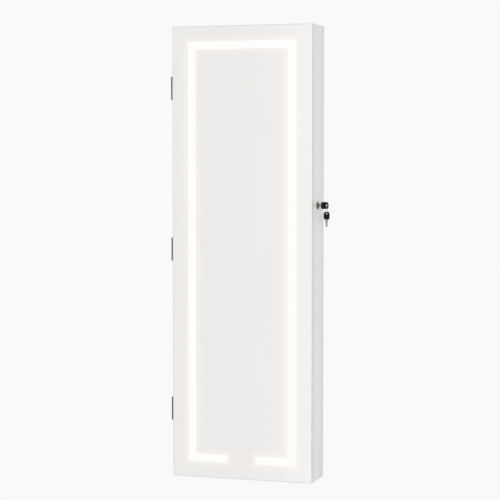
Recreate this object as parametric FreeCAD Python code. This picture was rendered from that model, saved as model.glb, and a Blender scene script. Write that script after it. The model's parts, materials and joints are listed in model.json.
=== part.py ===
import FreeCAD, Part
import math
import os

# Jewelry mirror cabinet: a shallow wall cabinet whose whole front is a mirror door with a lit, frosted band.
# Sizes are in millimetres. +X is right, -Y is towards the viewer and +Z is up. The origin is on the wall, at
# the centre of the four wall screws. The door turns on three butt hinges on the left, and the lock is on the
# right. Levels are heights above the underside of the cabinet.

V = FreeCAD.Vector
X = V(1, 0, 0)
Y = V(0, 1, 0)
Z = V(0, 0, 1)

# Body
width = 386.0
height = 1200.0
body_depth = 93.5
board = 12.0
joint_play = 0.1        # all round a board in its groove
glue_gap = 0.05         # all round a dowel in its hole
dowel_r = 3.0
dowel_in_side = 8.0
dowel_in_end = 20.0
dowel_end_play = 0.2
dowel_setback = (30.0, 75.0)

# Back, wall rails and lining
rail_height = 60.0
rail_t = 12.0
back_t = 3.0
back_groove = 5.0
lining_t = 2.0
lining_play = 0.3
wall_hole_r = 2.75
wall_hole_pitch = 240.0
head_hole_r = 7.0

# Shelves and bays, from the bottom up and from the top down
shelf_board = 9.0
shelf_depth = 54.0
shelf_dado = 4.0
bottom_bay = 188.0
bracelet_bay = 211.0
earring_bay = 211.0
top_bay = 121.0
guard_t = 2.0
guard_height = 30.0
guard_play = 0.3

# Necklace rail and hooks, in the left column
column_width = 201.0
necklace_rail_t = 8.0
necklace_rail_height = 34.0
necklace_rail_drop = 26.0
rail_end_gap = 6.0
hook_count = 7
hook_pitch = 26.0
hook_wire_r = 1.75
hook_reach = 16.0
hook_bend_r = 3.5
hook_tip = 9.0
hook_collar_r = 4.5
hook_collar_t = 2.0
hook_shank = 6.0

# Ring tray and cushions, in the right column
tray_gap = 4.0
tray_wall = 3.0
tray_depth = 26.0
tray_top_gap = 14.0
lock_room = 20.0        # free height between the turning cam and the tray
cushion_pitch = 24.0
cushion_gap = 2.0
cushion_stand = 1.5
cushion_play = 0.3

# Earring bars
earring_bar_t = 2.0
earring_bar_height = 26.0
earring_bar_count = 3
earring_bar_pitch = 62.0
earring_bar_top_gap = 22.0
earring_bar_stand = 28.0
earring_bar_dado = 3.0
earring_slot_w = 1.8
earring_slot_depth = 7.0
earring_slot_pitch = 17.0

# Bracelet rod
rod_r = 10.0
rod_top_gap = 50.0
rod_stand = 28.0
rod_end_play = 0.1
rod_fit = 0.1
socket_r = 14.0
socket_t = 8.0
socket_depth = 6.0

# Door
door_seam = 1.5
door_board_t = 14.0
glass_t = 4.0
glass_bevel = 0.6
liner_t = 2.0
liner_margin = 5.0
liner_window_gap = 1.0
bumper_r = 4.0
bumper_t = 1.2
bumper_inset = 30.0

# Lit band behind the glass
band_side_margin = 43.5
band_top_margin = 40.0
band_bottom_margin = 42.0
band_width = 22.5
band_gap = 76.5
channel_play = 1.0
channel_depth = 6.0
strip_width = 10.0
strip_t = 0.4
chip_long = 3.5
chip_wide = 2.8
chip_t = 0.8
chip_pitch = 33.0
sensor_length = 30.0
sensor_width = 14.0
sensor_t = 1.6
sensor_play = 1.0
sensor_pad_r = 6.0
lead_t = 1.2
lead_pitch = 2.5
lead_hole_r = 3.0
lead_groove = 6.0

# Butt hinges
hinge_height = 60.0
hinge_bottom = 179.0    # centre of the lowest hinge above the underside
hinge_top = 162.0       # centre of the highest hinge below the top
knuckle_count = 5
knuckle_gap = 0.25
barrel_r = 3.8
barrel_stand = 6.8      # axis of the pin outside the side panel
pin_r = 1.5
pin_fit = 0.05
pin_head_r = 2.6
pin_head_t = 1.2
leaf_t = 1.2
leaf_reach = 11.0
leaf_gap = 0.3
knuckle_clearance = 0.3
leaf_screw_pitch = 21.0

# One countersunk wood screw for the body and the door
screw_r = 1.5
screw_length = 12.0
screw_head_r = 2.8
screw_head_t = 1.7
screw_play = 0.05
recess_across = 0.8
recess_depth = 1.0

# Cam lock
lock_level = 728.0
lock_setback = 52.5     # behind the mirror's face
flange_r = 10.0
flange_t = 2.3
flange_edge = 0.6
barrel_outer_r = 8.0
barrel_length = 19.8
plug_r = 6.0
plug_head_r = 7.2
plug_head_t = 1.6
plug_inset = 0.2
lock_fit = 0.05
nut_r = 12.5
nut_t = 3.0
cam_t = 2.0
cam_gap = 0.2
cam_square = 8.0
cam_width = 12.0
cam_boss_r = 7.0
cam_tip = 29.75
cam_peg_r = 21.75
hook_slot_half = 3.25
cam_screw_r = 2.0
cam_screw_depth = 5.0
cam_head_r = 4.0
cam_head_t = 2.2

# Keeper on the door
peg_r = 2.0
keeper_t = 1.5
keeper_gap = 8.0
keeper_height = 30.0
keeper_foot = 6.0
ear_width = 10.0
ear_beyond_peg = 3.5

# Keys
key_stand = 10.0        # from the side panel to the bow
blade_length = 20.0
blade_height = 5.6
blade_t = 1.8
blade_point = 1.5       # how far the tip's corners are cut back
first_cut = 4.5         # from the tip to the first notch
stop_height = 8.0       # the wide part of the blade, which stays outside the lock
stop_length = 5.0
stop_taper = 1.5
keyway_fit = 0.1
key_cut_depth = 1.3
key_cut_pitch = 2.4
tongue_length = 8.0
tongue_height = 5.0
bow_length = 20.0
bow_width = 18.5
bow_t = 3.0
bow_corner = 3.0
bow_round = 6.0         # corners of the outer end
bow_edge = 0.6
bow_slot_across = 6.6
bow_slot_along = 3.0
bow_slot_inset = 5.0    # from the bow's outer end to the middle of its slot
ring_r = 9.3
ring_wire_r = 0.65
ring_clearance = 0.4    # between the wire and the edge of the slot that it bears on
spare_turn = 25.0       # degrees that the spare key hangs turned about the vertical

# Magnetic catch
catch_level = 560.0
catch_gap = 0.3
catch_width = 12.0
catch_length = 44.0
catch_depth = 26.0
catch_block = 26.0
catch_foot_t = 3.0
catch_screw_pitch = 35.0
catch_screw_setback = 12.0
magnet_t = 5.0
magnet_height = 20.0
magnet_depth = 12.0
pole_t = 1.0
pole_proud = 0.5
strike_t = 1.5
strike_width = 14.0
strike_length = 40.0
strike_screw_pitch = 28.0
edge_clearance = 2.0    # between a fitting on the door and the inside of the body

# Battery box and its sliding lid, on the door
cell_r = 7.25
cell_length = 49.5
cell_nub_r = 2.75
cell_nub = 1.2
cell_pitch = 15.5
cell_count = 4
cell_play = 0.15
contact_t = 0.4
contact_width = 7.0
contact_room = 4.0
box_wall = 1.6
lid_t = 1.4
lid_play = 0.1
lid_groove = 1.2
lid_lip = 1.2
lid_rib = 0.8
lid_rib_width = 1.6
lid_rib_pitch = 3.2
lid_rib_length = 30.0
lid_rib_count = 4
box_screw_x = 24.0
box_screw_pitch = 46.5

# What follows from the sizes above
half_w = width / 2
bottom = -height / 2
top = height / 2
inner_x = half_w - board
inner_bottom = bottom + board
inner_top = top - board
body_front = -body_depth
door_back = body_front - door_seam
board_front = door_back - door_board_t
glass_front = board_front - glass_t
back_rear = -rail_t
back_front = back_rear - back_t
lining_front = back_front - lining_t
shelf_front = lining_front - shelf_depth
lower_shelf_z = inner_bottom + bottom_bay
earring_shelf_z = lower_shelf_z + shelf_board + bracelet_bay
middle_shelf_z = earring_shelf_z + shelf_board + earring_bay
top_shelf_z = inner_top - top_bay - shelf_board
shelf_levels = (lower_shelf_z, earring_shelf_z, middle_shelf_z, top_shelf_z)
divider_x = (column_width - inner_x, column_width - inner_x + shelf_board)
wall_hole_z = (inner_bottom + rail_height / 2, inner_top - rail_height / 2)
channel_floor = board_front + channel_depth
band_top = top - band_top_margin
band_bottom = bottom + band_bottom_margin
band_x = half_w - band_side_margin
band_middle_z = band_bottom + band_width / 2
strip_x = band_x - band_width / 2
hinge_x = -(half_w + barrel_stand)
hinge_y = (body_front + door_back) / 2
hinge_levels = (
    bottom + hinge_bottom,
    (bottom + hinge_bottom + top - hinge_top) / 2,
    top - hinge_top,
)
mortise = (leaf_gap + 2 * leaf_t - door_seam) / 2
body_leaf_y = (body_front + mortise - leaf_t, body_front + mortise)
door_leaf_y = (door_back - mortise, door_back - mortise + leaf_t)
leaf_screw_x = -(half_w - board / 2)
lock_y = glass_front + lock_setback
lock_z = bottom + lock_level
barrel_end = half_w - barrel_length
plug_front = half_w + flange_t - plug_inset
cam_x = (barrel_end - cam_gap - cam_t, barrel_end - cam_gap)
cam_middle = (cam_x[0] + cam_x[1]) / 2
peg_y = lock_y - cam_peg_r
bow_x = half_w + key_stand
key_tip = bow_x - blade_length
bow_slot_x = bow_x + bow_length - bow_slot_inset
ring_top = lock_z - (bow_slot_across / 2 - ring_wire_r - ring_clearance)
ring_z = ring_top - ring_r
spare_slot_z = ring_z - ring_r - (bow_slot_along / 2 - ring_wire_r - ring_clearance)
catch_z = bottom + catch_level
catch_front = body_front + catch_gap
strike_x = (inner_x - edge_clearance - strike_width, inner_x - edge_clearance)
bay_x = cell_length / 2 + cell_nub + contact_room
bay_z = cell_count * cell_pitch / 2
bay_floor = door_back + box_wall
bay_top = bay_floor + 2 * (cell_r + cell_play)
lid_y = (bay_top + lid_play, bay_top + lid_play + lid_t)
box_top = lid_y[1] + lid_play + lid_lip
box_x = bay_x + lid_groove + box_wall
box_z = bay_z + box_wall


def box(xs, ys, zs):
    """A block between two values along each axis, in either order."""
    low = V(min(xs), min(ys), min(zs))
    return Part.makeBox(max(xs) - low.x, max(ys) - low.y, max(zs) - low.z, low)


def rod(radius, start, end):
    """A round bar from one point to another."""
    along = end - start
    return Part.makeCylinder(radius, along.Length, start, along)


def prism(outline, along):
    """A flat outline, given as points, pushed along a vector."""
    wire = Part.makePolygon(list(outline) + [outline[0]])
    return Part.Face(wire).extrude(along)


def joined(shapes):
    """Overlapping or touching shapes made into one solid."""
    whole = shapes[0].fuse(list(shapes[1:])).removeSplitter()
    return whole.Solids[0]


def group(solids):
    """Separate like pieces, kept together in one node."""
    return Part.makeCompound(list(solids))


def mirrored(shape):
    """The same shape on the other side of the cabinet."""
    return shape.mirror(V(0, 0, 0), X)


def screw_blank(head, along, play=0.0):
    """The room that a countersunk screw takes, from the middle of its head."""
    cone = Part.makeCone(screw_head_r + play, screw_r + play, screw_head_t, head, along)
    shank = Part.makeCylinder(screw_r + play, screw_length + play, head, along)
    return joined([cone, shank])


def screw(head, along):
    """A countersunk screw with a cross recess in its head."""
    arm = screw_head_r
    block = Part.makeBox(arm, recess_across, 2 * recess_depth, V(-arm / 2, -recess_across / 2, -recess_depth))
    cross = block.fuse(block.rotated(V(0, 0, 0), Z, 90))
    cross.Placement = FreeCAD.Placement(head, FreeCAD.Rotation(Z, along))
    return screw_blank(head, along).cut(cross).Solids[0]


# Screws: the middle of each head and the way that it points


def hinge_screw_levels():
    """Heights of the three screws in each leaf."""
    return [z + step * leaf_screw_pitch for z in hinge_levels for step in (-1, 0, 1)]


def cabinet_screw_places():
    """Screws in the body: hinge leaves and magnetic catch."""
    hinges = [(V(leaf_screw_x, body_leaf_y[0], z), Y) for z in hinge_screw_levels()]
    catch_y = catch_front + catch_screw_setback
    catch = [
        (V(inner_x - catch_foot_t, catch_y, catch_z + side * catch_screw_pitch / 2), X) for side in (-1, 1)
    ]
    return hinges + catch


def door_screw_places():
    """Screws in the door: hinge leaves, keeper, strike plate and battery box."""
    back = -1 * Y
    hinges = [(V(leaf_screw_x, door_leaf_y[1], z), back) for z in hinge_screw_levels()]
    keeper_step = (ear_width + keeper_height) / 4
    keeper = [(V(cam_middle, door_back + keeper_t, lock_z + side * keeper_step), back) for side in (-1, 1)]
    strike_middle = (strike_x[0] + strike_x[1]) / 2
    strike = [
        (V(strike_middle, door_back + strike_t, catch_z + side * strike_screw_pitch / 2), back)
        for side in (-1, 1)
    ]
    battery = [
        (V(side * box_screw_x, bay_floor, band_middle_z + step * box_screw_pitch / 2), back)
        for side in (-1, 1)
        for step in (-1, 1)
    ]
    return hinges + keeper + strike + battery


def cabinet_screws():
    return group(screw(head, along) for head, along in cabinet_screw_places())


def door_screws():
    return group(screw(head, along) for head, along in door_screw_places())


def screw_holes(places):
    return [screw_blank(head, along, screw_play) for head, along in places]


# Body


def back_groove_slab():
    """The room of the back panel in the grooves of the four boards round it."""
    return box(
        (-inner_x - back_groove, inner_x + back_groove),
        (back_rear + joint_play, back_front - joint_play),
        (inner_bottom - back_groove, inner_top + back_groove),
    )


def dowel_places():
    """Where each dowel crosses the inner face of a side panel."""
    corners = [
        V(side * inner_x, -y, z)
        for side in (-1, 1)
        for z in (bottom + board / 2, top - board / 2)
        for y in dowel_setback
    ]
    rails = [V(side * inner_x, -rail_t / 2, z) for side in (-1, 1) for z in wall_hole_z]
    return corners + rails


def dowel_at(place, play=0.0, end_play=0.0):
    """A dowel, or with play its hole, across the inner face of a side panel."""
    side = math.copysign(1, place.x)
    start = place - X * side * (dowel_in_end + end_play)
    end = place + X * side * (dowel_in_side + end_play)
    return rod(dowel_r + play, start, end)


def carcass_dowels():
    return group(dowel_at(place) for place in dowel_places())


def dowel_holes():
    return [dowel_at(place, glue_gap, dowel_end_play) for place in dowel_places()]


def shelf_slab(z, play=0.0):
    """A shelf, or with play its room in the side panels."""
    reach = inner_x + shelf_dado - joint_play + play
    return box(
        (-reach, reach),
        (lining_front + play, shelf_front - play),
        (z - play, z + shelf_board + play),
    )


def earring_bar_slab(index, play=0.0):
    """A blank earring bar, or with play its room in the side panels."""
    reach = inner_x + earring_bar_dado - joint_play + play
    middle = lining_front - earring_bar_stand
    high = middle_shelf_z - earring_bar_top_gap - index * earring_bar_pitch
    return box(
        (-reach, reach),
        (middle - earring_bar_t / 2 - play, middle + earring_bar_t / 2 + play),
        (high - earring_bar_height - play, high + play),
    )


def side_panel_blank():
    """The right side panel with the cuts that both side panels have."""
    panel = box((inner_x, half_w), (0, body_front), (bottom, top))
    rooms = [shelf_slab(z, joint_play) for z in shelf_levels]
    rooms += [earring_bar_slab(index, joint_play) for index in range(earring_bar_count)]
    return panel.cut([back_groove_slab()] + rooms + dowel_holes())


def left_side_panel():
    beds = [
        box((-half_w, leaf_reach - half_w), (body_front, body_front + mortise), leaf_z(level))
        for level in hinge_levels
    ]
    holes = screw_holes(cabinet_screw_places())
    return mirrored(side_panel_blank()).cut(beds + holes).Solids[0]


def right_side_panel():
    centre = V(0, lock_y, lock_z)
    lock_hole = rod(barrel_outer_r + lock_fit, centre + X * inner_x, centre + X * half_w)
    return side_panel_blank().cut([lock_hole] + screw_holes(cabinet_screw_places())).Solids[0]


def end_panel(zs):
    """The top or the bottom panel, between the side panels."""
    panel = box((-inner_x, inner_x), (0, body_front), zs)
    return panel.cut([back_groove_slab()] + dowel_holes()).Solids[0]


def wall_holes(radius, depth):
    """Four holes from the wall inwards, on the pattern of the wall screws."""
    return [
        rod(radius, V(side * wall_hole_pitch / 2, 0, z), V(side * wall_hole_pitch / 2, -depth, z))
        for side in (-1, 1)
        for z in wall_hole_z
    ]


def wall_rail(zs):
    rail = box((-inner_x, inner_x), (0, -rail_t), zs)
    return rail.cut(dowel_holes() + wall_holes(wall_hole_r, rail_t)).Solids[0]


def back_panel():
    reach = back_groove - joint_play
    panel = box(
        (-inner_x - reach, inner_x + reach),
        (back_rear, back_front),
        (inner_bottom - reach, inner_top + reach),
    )
    return panel.cut(wall_holes(wall_hole_r, -back_front)).Solids[0]


def back_lining():
    lining = box(
        (lining_play - inner_x, inner_x - lining_play),
        (back_front, lining_front),
        (inner_bottom + lining_play, inner_top - lining_play),
    )
    return lining.cut(wall_holes(head_hole_r, -lining_front)).Solids[0]


# Inside of the body


def shelf_guards():
    """Clear strips on the fronts of the shelves, and one that stands on the bottom panel."""
    reach = inner_x - guard_play
    return group(
        box((-reach, reach), (shelf_front, shelf_front - guard_t), (z, z + guard_height))
        for z in (inner_bottom, lower_shelf_z, middle_shelf_z, top_shelf_z)
    )


def column_divider():
    return box(divider_x, (lining_front, shelf_front), (middle_shelf_z + shelf_board, top_shelf_z))


def necklace_rail_z():
    high = top_shelf_z - necklace_rail_drop
    return (high - necklace_rail_height, high)


def hook_places():
    """Where each hook leaves the face of the necklace rail."""
    middle = (divider_x[0] - inner_x) / 2
    first = middle - (hook_count - 1) * hook_pitch / 2
    face = lining_front - necklace_rail_t
    z = sum(necklace_rail_z()) / 2
    return [V(first + index * hook_pitch, face, z) for index in range(hook_count)]


def necklace_rail():
    rail = box(
        (rail_end_gap - inner_x, divider_x[0] - rail_end_gap),
        (lining_front, lining_front - necklace_rail_t),
        necklace_rail_z(),
    )
    holes = [rod(hook_wire_r, place, place + Y * hook_shank) for place in hook_places()]
    return rail.cut(holes).Solids[0]


def necklace_hook(place):
    """A wire hook: shank in the rail, collar, arm forward and a tip that turns up."""
    arm_end = place - Y * (hook_reach - hook_bend_r)
    section = Part.Face(Part.Wire(Part.Circle(arm_end, Y, hook_wire_r).toShape()))
    bend = section.revolve(arm_end + Z * hook_bend_r, X, -90)
    tip_start = place - Y * hook_reach + Z * hook_bend_r
    return joined([
        rod(hook_wire_r, place + Y * hook_shank, arm_end),
        rod(hook_collar_r, place, place - Y * hook_collar_t),
        bend,
        rod(hook_wire_r, tip_start, place - Y * hook_reach + Z * hook_tip),
    ])


def necklace_hooks():
    return group(necklace_hook(place) for place in hook_places())


def tray_box():
    """Outer limits of the ring tray: from the divider to the side panel, above the reach of the cam."""
    low = lock_z + cam_width / 2 + lock_room
    return (
        (divider_x[1] + tray_gap, inner_x - tray_gap),
        (lining_front, lining_front - tray_depth),
        (low, top_shelf_z - tray_top_gap),
    )


def tray_pocket():
    xs, ys, zs = tray_box()
    return (
        (xs[0] + tray_wall, xs[1] - tray_wall),
        (ys[0] - tray_wall, ys[1]),
        (zs[0] + tray_wall, zs[1] - tray_wall),
    )


def ring_tray():
    return box(*tray_box()).cut(box(*tray_pocket())).Solids[0]


def ring_cushion(low):
    """A padded roll with a round front, across the tray."""
    xs, ys, zs = tray_pocket()
    ends = (xs[0] + cushion_play, xs[1] - cushion_play)
    radius = (cushion_pitch - cushion_gap) / 2
    axis_y = ys[1] - cushion_stand + radius
    middle = low + cushion_gap / 2 + radius
    block = box(ends, (ys[0], axis_y), (middle - radius, middle + radius))
    return joined([block, rod(radius, V(ends[0], axis_y, middle), V(ends[1], axis_y, middle))])


def ring_cushions():
    xs, ys, zs = tray_pocket()
    rows = int((zs[1] - zs[0]) // cushion_pitch)
    spare = zs[1] - zs[0] - rows * cushion_pitch
    return group(ring_cushion(zs[0] + spare / 2 + row * cushion_pitch) for row in range(rows))


def earring_bar(index):
    """A clear bar with a row of slots in its upper edge."""
    high = middle_shelf_z - earring_bar_top_gap - index * earring_bar_pitch
    middle = lining_front - earring_bar_stand
    steps = int((inner_x - earring_slot_pitch) // earring_slot_pitch)
    slots = [
        box(
            (step * earring_slot_pitch - earring_slot_w / 2, step * earring_slot_pitch + earring_slot_w / 2),
            (middle - earring_bar_t, middle + earring_bar_t),
            (high - earring_slot_depth, high + earring_slot_depth),
        )
        for step in range(-steps, steps + 1)
    ]
    return earring_bar_slab(index).cut(slots).Solids[0]


def earring_bars():
    return group(earring_bar(index) for index in range(earring_bar_count))


def rod_centre():
    return V(0, lining_front - rod_stand, earring_shelf_z - rod_top_gap)


def bracelet_rod():
    reach = inner_x - socket_t + socket_depth - rod_end_play
    return rod(rod_r, rod_centre() - X * reach, rod_centre() + X * reach)


def rod_socket():
    centre = rod_centre()
    cup = rod(socket_r, centre + X * (inner_x - socket_t), centre + X * inner_x)
    bore = rod(rod_r + rod_fit, centre, centre + X * (inner_x - socket_t + socket_depth))
    return cup.cut(bore).Solids[0]


def rod_sockets():
    return group([rod_socket(), mirrored(rod_socket())])


# Magnetic catch


def catch_pocket():
    """The room of the magnet and its pole plates in the housing."""
    middle = inner_x - catch_width / 2
    half = magnet_t / 2 + pole_t
    return (
        (middle - half, middle + half),
        (catch_front, catch_front + magnet_depth),
        (catch_z - magnet_height / 2, catch_z + magnet_height / 2),
    )


def catch_housing():
    face = catch_front + pole_proud
    block = box(
        (inner_x - catch_width, inner_x),
        (face, catch_front + catch_depth),
        (catch_z - catch_block / 2, catch_z + catch_block / 2),
    )
    foot = box(
        (inner_x - catch_foot_t, inner_x),
        (face, catch_front + catch_depth),
        (catch_z - catch_length / 2, catch_z + catch_length / 2),
    )
    return joined([block, foot]).cut([box(*catch_pocket())] + screw_holes(cabinet_screw_places())).Solids[0]


def catch_magnet():
    """The magnet between its two pole plates."""
    xs, ys, zs = catch_pocket()
    magnet = box((xs[0] + pole_t, xs[1] - pole_t), (ys[0] + pole_proud, ys[1]), zs)
    poles = [box((x, x + pole_t), ys, zs) for x in (xs[0], xs[1] - pole_t)]
    return group([magnet] + poles)


def strike_plate():
    plate = box(
        strike_x,
        (door_back, door_back + strike_t),
        (catch_z - strike_length / 2, catch_z + strike_length / 2),
    )
    return plate.cut(screw_holes(door_screw_places())).Solids[0]


# Hinges


def leaf_z(level):
    return (level - hinge_height / 2, level + hinge_height / 2)


def knuckle_z(level, index):
    """Lower and upper end of one knuckle of the hinge at a level."""
    length = (hinge_height - (knuckle_count - 1) * knuckle_gap) / knuckle_count
    low = level - hinge_height / 2 + index * (length + knuckle_gap)
    return (low, low + length)


def hinge_leaf(level, leaf_y, own, places):
    """A leaf with its own knuckles; own is 0 for the first, third and fifth, and 1 for the others."""
    plate = box((hinge_x, leaf_reach - half_w), leaf_y, leaf_z(level))
    clear = barrel_r + knuckle_clearance
    knuckles = []
    notches = []
    for index in range(knuckle_count):
        zs = knuckle_z(level, index)
        if index % 2 == own:
            knuckles.append(rod(barrel_r, V(hinge_x, hinge_y, zs[0]), V(hinge_x, hinge_y, zs[1])))
        else:
            ends = (zs[0] - knuckle_gap, zs[1] + knuckle_gap)
            notches.append(box((hinge_x - clear, hinge_x + clear), (leaf_y[0], leaf_y[1]), ends))
    bore = rod(pin_r + pin_fit, V(hinge_x, hinge_y, leaf_z(level)[0]), V(hinge_x, hinge_y, leaf_z(level)[1]))
    leaf = joined([plate.cut(notches)] + knuckles)
    return leaf.cut([bore] + screw_holes(places)).Solids[0]


def body_leaf(level):
    return hinge_leaf(level, body_leaf_y, 0, cabinet_screw_places())


def door_leaf(level):
    return hinge_leaf(level, door_leaf_y, 1, door_screw_places())


def hinge_pin(level):
    """A pin through the knuckles, with a button at each end."""
    low, high = leaf_z(level)
    base = V(hinge_x, hinge_y, low)
    tip = V(hinge_x, hinge_y, high)
    buttons = [rod(pin_head_r, base - Z * pin_head_t, base), rod(pin_head_r, tip, tip + Z * pin_head_t)]
    return joined([rod(pin_r, base, tip)] + buttons)


def hinge_pins():
    return group(hinge_pin(level) for level in hinge_levels)


# Door


def band_runs(spread):
    """The straight runs of the lit band, each spread sideways by a margin: xs and zs of each."""
    outer = band_x + spread
    inner = band_x - band_width - spread
    low = (band_bottom - spread, band_bottom + band_width + spread)
    high = (band_top - band_width - spread, band_top + spread)
    return [
        ((-outer, -inner), (low[0], high[1])),
        ((inner, outer), (low[0], high[1])),
        ((-inner, inner), high),
        ((-inner, -band_gap / 2), low),
        ((band_gap / 2, inner), low),
    ]


def light_channel():
    return [box(xs, (board_front, channel_floor), zs) for xs, zs in band_runs(channel_play)]


def sensor_pocket():
    """Room of the touch sensor, grooves of its leads and the hole to the battery box."""
    pocket = box(
        (-sensor_length / 2 - sensor_play, sensor_length / 2 + sensor_play),
        (board_front, channel_floor),
        (band_middle_z - sensor_width / 2 - sensor_play, band_middle_z + sensor_width / 2 + sensor_play),
    )
    groove = box(
        (-band_gap / 2, band_gap / 2),
        (board_front, channel_floor),
        (band_middle_z - lead_groove / 2, band_middle_z + lead_groove / 2),
    )
    hole = rod(lead_hole_r, V(0, channel_floor, band_middle_z), V(0, door_back, band_middle_z))
    return [pocket, groove, hole]


def door_board():
    panel = box((-half_w, half_w), (door_back, board_front), (bottom, top))
    beds = [
        box((-half_w, leaf_reach - half_w), (door_back, door_back - mortise), leaf_z(level))
        for level in hinge_levels
    ]
    cuts = light_channel() + sensor_pocket() + beds + screw_holes(door_screw_places())
    return panel.cut(cuts).Solids[0]


def mirror_glass():
    """One sheet over the whole front, with its front edges eased."""
    glass = box((-half_w, half_w), (board_front, glass_front), (bottom, top))
    front_edges = [edge for edge in glass.Edges if edge.BoundBox.YMax < glass_front + glass_bevel]
    return glass.makeChamfer(glass_bevel, front_edges).Solids[0]


def strip_runs():
    """Middle line of each strip: fixed coordinate, start, end, and whether it runs up."""
    half = strip_width / 2
    high = band_top - band_width / 2
    side = (band_middle_z - half, high + half)
    inner = strip_x - half
    return [
        (-strip_x, side[0], side[1], True),
        (strip_x, side[0], side[1], True),
        (high, -inner, inner, False),
        (band_middle_z, -inner, -band_gap / 2, False),
        (band_middle_z, band_gap / 2, inner, False),
    ]


def led_strip():
    """Flat lengths on the floor of the channel, butted at the corners."""
    half = strip_width / 2
    ys = (channel_floor, channel_floor - strip_t)
    lengths = []
    for fixed, start, end, upright in strip_runs():
        across = (fixed - half, fixed + half)
        along = (start, end)
        lengths.append(box(across, ys, along) if upright else box(along, ys, across))
    return group(lengths)


def led_chips():
    """Light-emitting chips, evenly along each length of strip."""
    ys = (channel_floor - strip_t, channel_floor - strip_t - chip_t)
    chips = []
    for fixed, start, end, upright in strip_runs():
        count = int((end - start) // chip_pitch)
        first = (start + end - (count - 1) * chip_pitch) / 2
        across = (fixed - chip_wide / 2, fixed + chip_wide / 2)
        for index in range(count):
            middle = first + index * chip_pitch
            along = (middle - chip_long / 2, middle + chip_long / 2)
            chips.append(box(across, ys, along) if upright else box(along, ys, across))
    return group(chips)


def touch_sensor():
    """A small circuit board on the pocket's floor, with a pad that reaches the glass."""
    face = channel_floor - sensor_t
    plate = box(
        (-sensor_length / 2, sensor_length / 2),
        (channel_floor, face),
        (band_middle_z - sensor_width / 2, band_middle_z + sensor_width / 2),
    )
    pad = rod(sensor_pad_r, V(0, face, band_middle_z), V(0, board_front, band_middle_z))
    return joined([plate, pad])


def led_leads():
    """Two leads from the sensor to each end of the strip, and two to the battery box."""
    leads = []
    for step in (-1, 1):
        z = band_middle_z + step * lead_pitch / 2
        ys = (channel_floor, channel_floor - lead_t)
        zs = (z - lead_t / 2, z + lead_t / 2)
        for side in (-1, 1):
            leads.append(box((side * sensor_length / 2, side * band_gap / 2), ys, zs))
        leads.append(rod(lead_t / 2, V(0, channel_floor, z), V(0, door_back, z)))
    return group(leads)


def door_liner():
    """A velvet panel inside the door, with windows for the fittings."""
    margin = board + liner_margin
    liner = box(
        (margin - half_w, half_w - margin),
        (door_back, door_back + liner_t),
        (bottom + margin, top - margin),
    )
    gap = liner_window_gap
    ys = (door_back, door_back + liner_t)
    keeper_x, keeper_z = keeper_base()
    windows = [
        box((-box_x - gap, box_x + gap), ys, (band_middle_z - box_z - gap, band_middle_z + box_z + gap)),
        box((keeper_x[0] - gap, half_w), ys, (keeper_z[0] - gap, keeper_z[1] + gap)),
        box(
            (strike_x[0] - gap, half_w),
            ys,
            (catch_z - strike_length / 2 - gap, catch_z + strike_length / 2 + gap),
        ),
    ]
    return liner.cut(windows).Solids[0]


def door_bumpers():
    """Soft discs that meet the front edges of the side panels."""
    return group(
        rod(
            bumper_r,
            V(side * (half_w - board / 2), door_back, z),
            V(side * (half_w - board / 2), door_back + bumper_t, z),
        )
        for side in (-1, 1)
        for z in (bottom + bumper_inset, top - bumper_inset)
    )


# Battery box


def battery_box():
    """An open box on the door, grooved for a lid that slides in from above."""
    middle = band_middle_z
    shell = box((-box_x, box_x), (door_back, box_top), (middle - box_z, middle + box_z))
    bay = box((-bay_x, bay_x), (bay_floor, box_top), (middle - bay_z, middle + bay_z))
    groove_x = bay_x + lid_groove
    ys = (bay_top, lid_y[1] + lid_play)
    groove = box((-groove_x, groove_x), ys, (middle - bay_z, middle + box_z))
    mouth = box((-bay_x, bay_x), (bay_top, box_top), (middle + bay_z, middle + box_z))
    shell = shell.cut([bay, groove, mouth])
    return shell.cut(screw_holes(door_screw_places())).Solids[0]


def battery_lid():
    """A flat lid with finger ribs, held by the grooves of the box."""
    reach = bay_x + lid_groove - lid_play
    low = band_middle_z - bay_z + lid_play
    high = band_middle_z + box_z
    plate = box((-reach, reach), lid_y, (low, high))
    ribs = [
        box(
            (-lid_rib_length / 2, lid_rib_length / 2),
            (lid_y[1], lid_y[1] + lid_rib),
            (high - index * lid_rib_pitch - lid_rib_width, high - index * lid_rib_pitch),
        )
        for index in range(1, lid_rib_count + 1)
    ]
    return joined([plate] + ribs)


def cell_rows():
    """Height of each cell and the side that its nub points to."""
    first = band_middle_z - (cell_count - 1) * cell_pitch / 2
    return [(first + index * cell_pitch, 1 if index % 2 else -1) for index in range(cell_count)]


def battery_cells():
    """Round cells, lying across the door and pointing left and right in turn."""
    y = bay_floor + cell_play + cell_r
    cells = []
    for z, way in cell_rows():
        middle = V(0, y, z)
        can = rod(cell_r, middle - X * cell_length / 2, middle + X * cell_length / 2)
        nub_base = middle + X * way * cell_length / 2
        cells.append(joined([can, rod(cell_nub_r, nub_base, nub_base + X * way * cell_nub)]))
    return group(cells)


def battery_contacts():
    """At each end of each cell, a plate on the wall with a stub that presses on the cell."""
    y = bay_floor + cell_play + cell_r
    contacts = []
    for z, way in cell_rows():
        for side in (-1, 1):
            wall = side * bay_x
            reach = cell_length / 2 + (cell_nub if side == way else 0)
            plate = box(
                (wall, wall - side * contact_t),
                (bay_floor, y + contact_width / 2),
                (z - contact_width / 2, z + contact_width / 2),
            )
            stub = rod(cell_nub_r, V(wall - side * contact_t, y, z), V(side * reach, y, z))
            contacts.append(joined([plate, stub]))
    return group(contacts)


# Lock and keeper


def lock_point(x):
    return V(x, lock_y, lock_z)


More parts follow.
